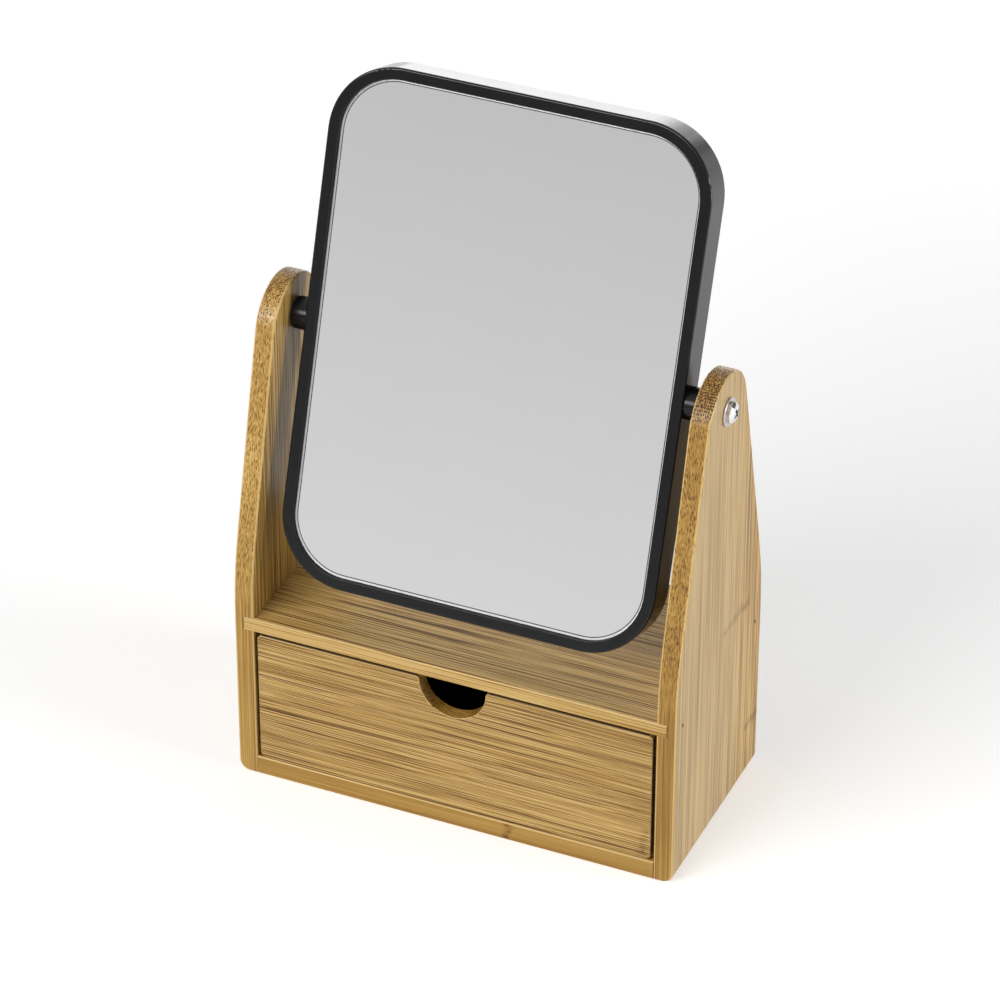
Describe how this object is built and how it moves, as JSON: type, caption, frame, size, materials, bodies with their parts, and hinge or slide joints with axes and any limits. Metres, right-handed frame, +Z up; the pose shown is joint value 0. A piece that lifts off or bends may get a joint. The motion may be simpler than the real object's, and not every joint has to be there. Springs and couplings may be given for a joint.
{
  "type": "vanity mirror",
  "caption": "Tabletop vanity mirror: a tilting rounded mirror on screws between tapered bamboo side panels, above a shelf and a drawer with a finger notch.",
  "frame": {"origin": "on the table plane, under the middle of the stand", "axes": "+Z up, -Y to the front where the drawer pulls out, +X to the right as seen from the front"},
  "size_m": [0.2078, 0.095, 0.3123],
  "materials": {
    "bamboo": "satin clear lacquer",
    "dowel_wood": "bare",
    "black_board": "matte black-faced fibreboard",
    "black_plastic": "satin",
    "mirror_silver": "polished",
    "grey_plastic": "matte",
    "backing_card": "fibreboard",
    "insert_brass": "machined",
    "screw_chrome": "polished",
    "washer_steel": "zinc plated",
    "ring_rubber": "matte",
    "brad_steel": "coated"
  },
  "bodies": {
    "stand": {"side_panel_left": "bamboo", "side_panel_right": "bamboo", "shelf_board": "bamboo", "base_board": "bamboo", "back_board": "bamboo", "base_dowels": "dowel_wood", "panel_brads": "brad_steel", "back_brads": "brad_steel", "pivot_washer_left": "washer_steel", "pivot_washer_right": "washer_steel"},
    "drawer": {"drawer_front": "bamboo", "drawer_side_left": "bamboo", "drawer_side_right": "bamboo", "drawer_back": "bamboo", "drawer_bottom": "black_board", "drawer_brads": "brad_steel", "drawer_bottom_brads": "brad_steel"},
    "mirror": {"mirror_frame": "black_plastic", "rear_bezel": "black_plastic", "front_glass": "mirror_silver", "rear_glass": "mirror_silver", "front_backing_card": "backing_card", "rear_backing_card": "backing_card", "core_frame": "grey_plastic", "threaded_insert_left": "insert_brass", "threaded_insert_right": "insert_brass", "pivot_spacer_left": "black_plastic", "pivot_spacer_right": "black_plastic", "friction_ring_left": "ring_rubber", "friction_ring_right": "ring_rubber", "pivot_screw_left": "screw_chrome", "pivot_screw_right": "screw_chrome"}
  },
  "joints": [
    {"name": "drawer_slide", "type": "slide", "parent": "stand", "child": "drawer", "axis": [0, -1, 0], "range_m": [0, 0.07]},
    {"name": "mirror_tilt", "type": "hinge", "parent": "stand", "child": "mirror", "pos_m": [0, 0, 0.2045], "axis": [1, 0, 0], "continuous": true}
  ]
}
